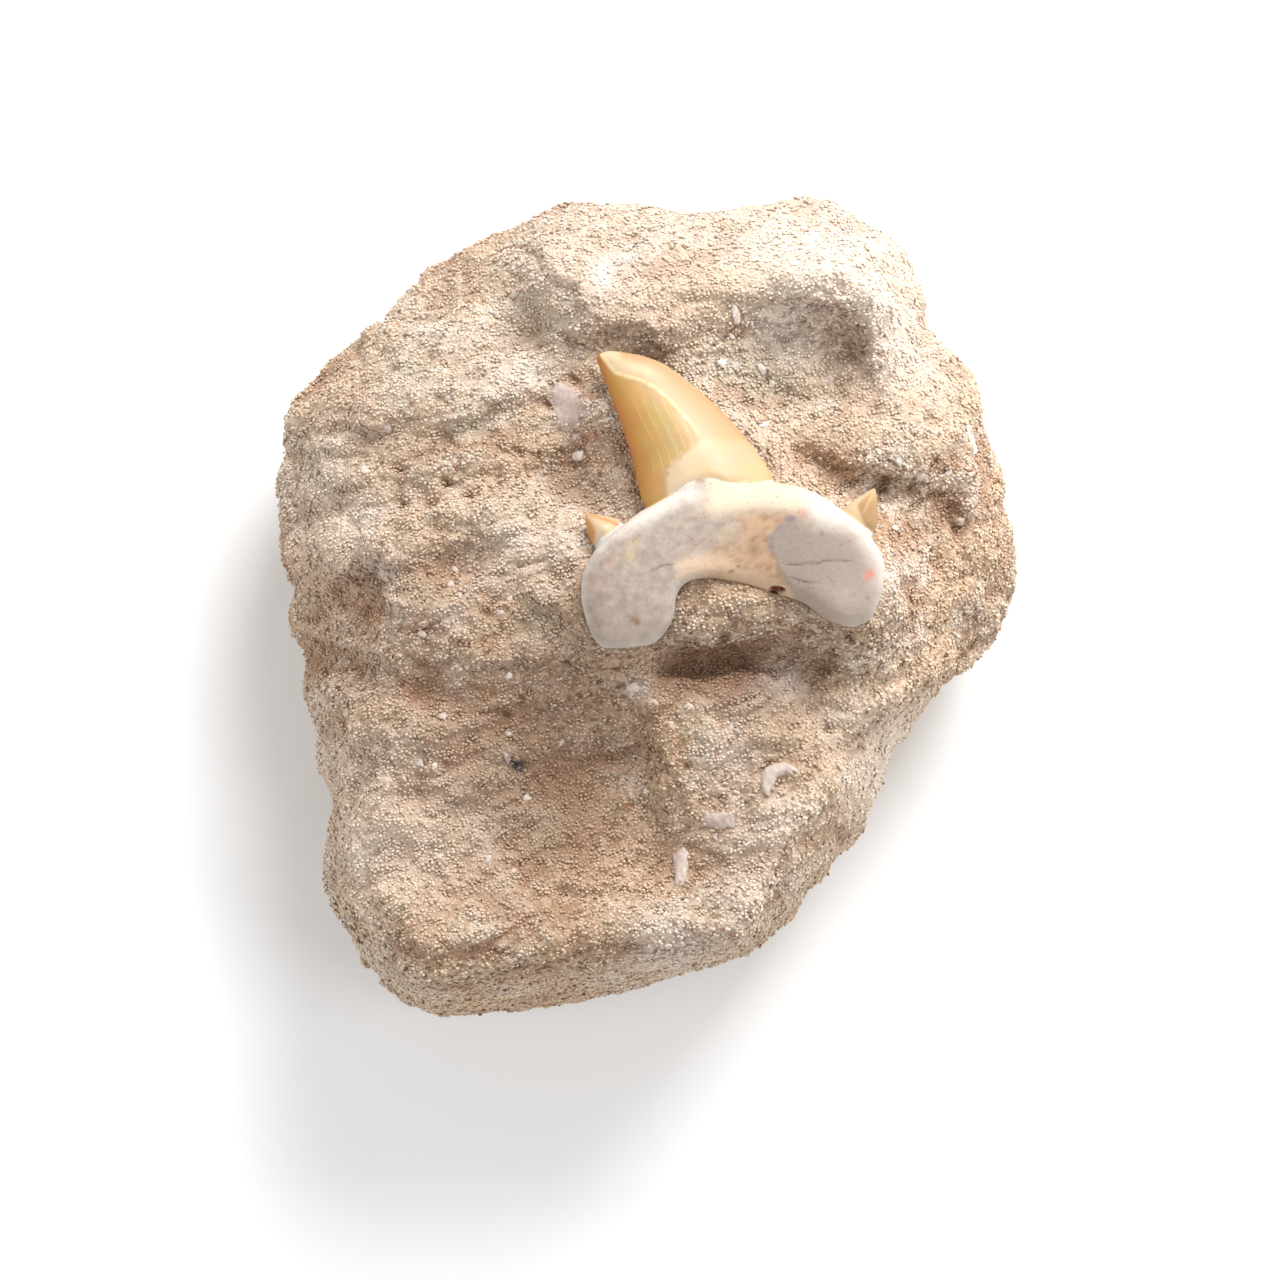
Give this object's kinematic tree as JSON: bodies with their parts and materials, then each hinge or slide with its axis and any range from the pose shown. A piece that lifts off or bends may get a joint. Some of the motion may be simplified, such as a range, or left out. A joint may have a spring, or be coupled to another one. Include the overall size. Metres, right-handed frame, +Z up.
{
  "type": "fossil shark tooth on matrix",
  "caption": "Fossil mackerel-shark tooth with side cusplets and a two-lobed root, standing proud of a hand-sized lump of sandy matrix; a display or teaching specimen.",
  "frame": {"origin": "middle of the object's footprint, in the plane of the stone's flat back", "axes": "+Z up through the tooth, out of the stone's front; +Y the way the crown points; +X to the right as the tooth is looked down on"},
  "size_m": [0.0702, 0.0782, 0.0357],
  "materials": {
    "sandy_matrix": "matte",
    "fossil_tooth": "satin"
  },
  "bodies": {
    "root": {"matrix_stone": "sandy_matrix", "shark_tooth": "fossil_tooth"}
  },
  "joints": []
}
